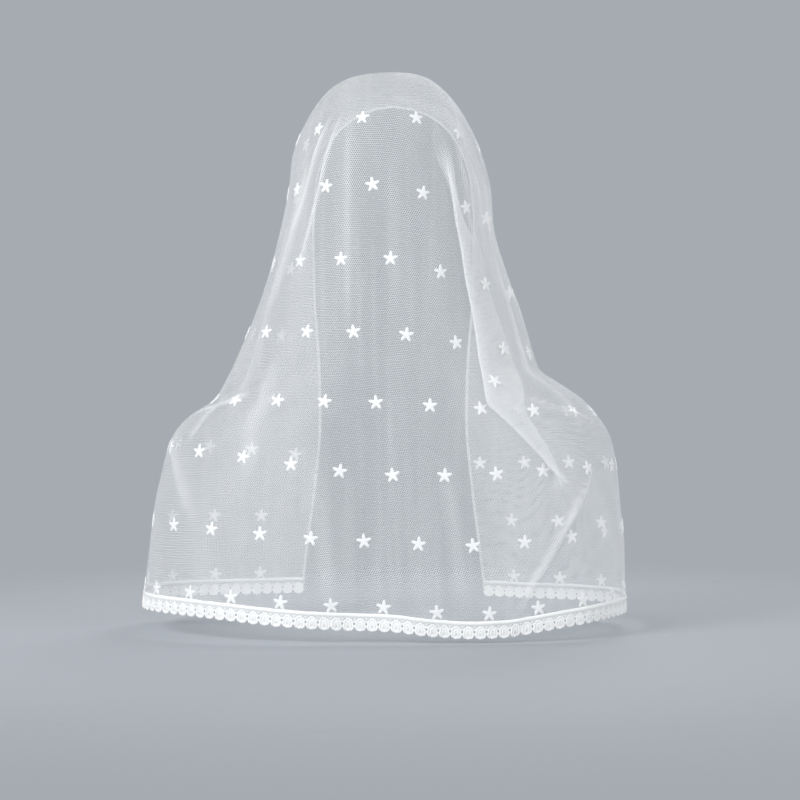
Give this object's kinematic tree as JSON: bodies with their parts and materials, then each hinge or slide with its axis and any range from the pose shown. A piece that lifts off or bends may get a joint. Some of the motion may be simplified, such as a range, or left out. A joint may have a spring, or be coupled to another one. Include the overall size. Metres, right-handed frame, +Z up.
{
  "type": "lace headscarf",
  "caption": "Sheer white tulle head veil with raised five-armed stars, a deep pleat over one shoulder and a narrow scalloped lace trim on its hem, draped as worn.",
  "frame": {"origin": "inside top of the crown, where the veil rests on the head", "axes": "+Z up, +Y towards the back of the head, -Y towards the face opening, +X to the wearer's left"},
  "size_m": [0.4616, 0.2601, 0.5223],
  "materials": {
    "tulle": "fine white polyester net, see-through, with white embroidered stars",
    "lace": "white cotton-like guipure lace, matt"
  },
  "bodies": {
    "root": {"tulle_veil": "tulle", "lace_hem_trim": "lace"}
  },
  "joints": []
}
